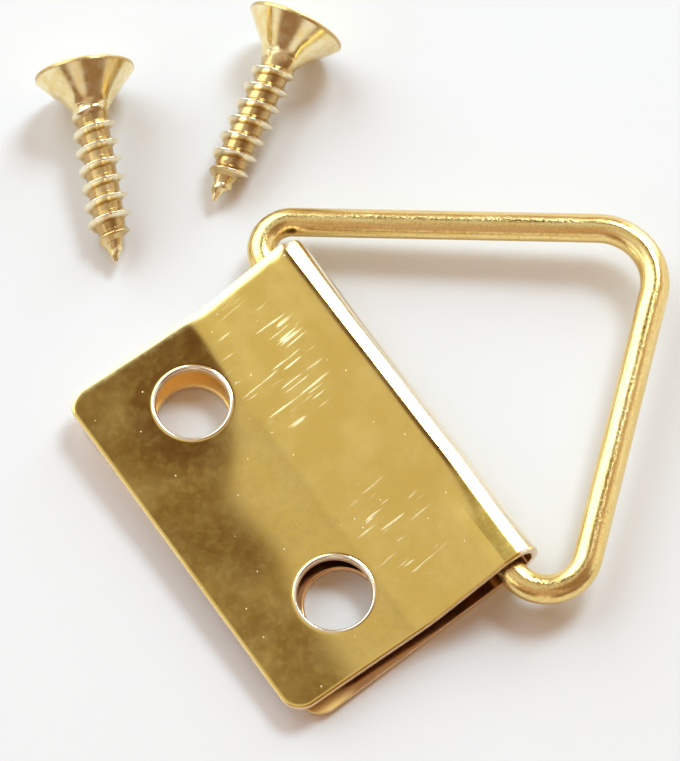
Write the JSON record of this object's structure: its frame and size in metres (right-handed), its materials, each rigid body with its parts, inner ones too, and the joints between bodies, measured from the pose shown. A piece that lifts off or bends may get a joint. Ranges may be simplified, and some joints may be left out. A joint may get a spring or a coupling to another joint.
{
  "type": "hinged picture hanger",
  "caption": "Triangle-ring strap hanger: a folded brass-finish strap with screw holes, a swinging wire ring in its knuckle, and its loose countersunk wood screws.",
  "frame": {"origin": "on the back leaf's mounting face, midway between the front leaf's screw holes", "axes": "+X along the hinge, +Y from the screw holes towards the ring's tip, +Z out of the front leaf"},
  "size_m": [0.0447, 0.0339, 0.0059],
  "materials": {
    "strap_brass": "polished brass plating on sheet",
    "wire_brass": "satin brass plating on drawn wire",
    "screw_brass": "bright brass plating"
  },
  "bodies": {
    "strap": {"strap_plate": "strap_brass"},
    "ring": {"triangle_ring": "wire_brass"},
    "screw_left": {"wood_screw_left": "screw_brass"},
    "screw_right": {"wood_screw_right": "screw_brass"}
  },
  "joints": [
    {"name": "ring_hinge", "type": "hinge", "parent": "strap", "child": "ring", "pos_m": [0.00008, 0.00875, 0.00193], "axis": [0.9998, 0.0192, 0], "range_deg": [-138, 154]},
    {"name": "screw_left_lift", "type": "slide", "parent": "strap", "child": "screw_left", "axis": [0, 0, 1], "range_m": [0, 0.03]},
    {"name": "screw_right_lift", "type": "slide", "parent": "strap", "child": "screw_right", "axis": [0, 0, 1], "range_m": [0, 0.03]}
  ]
}
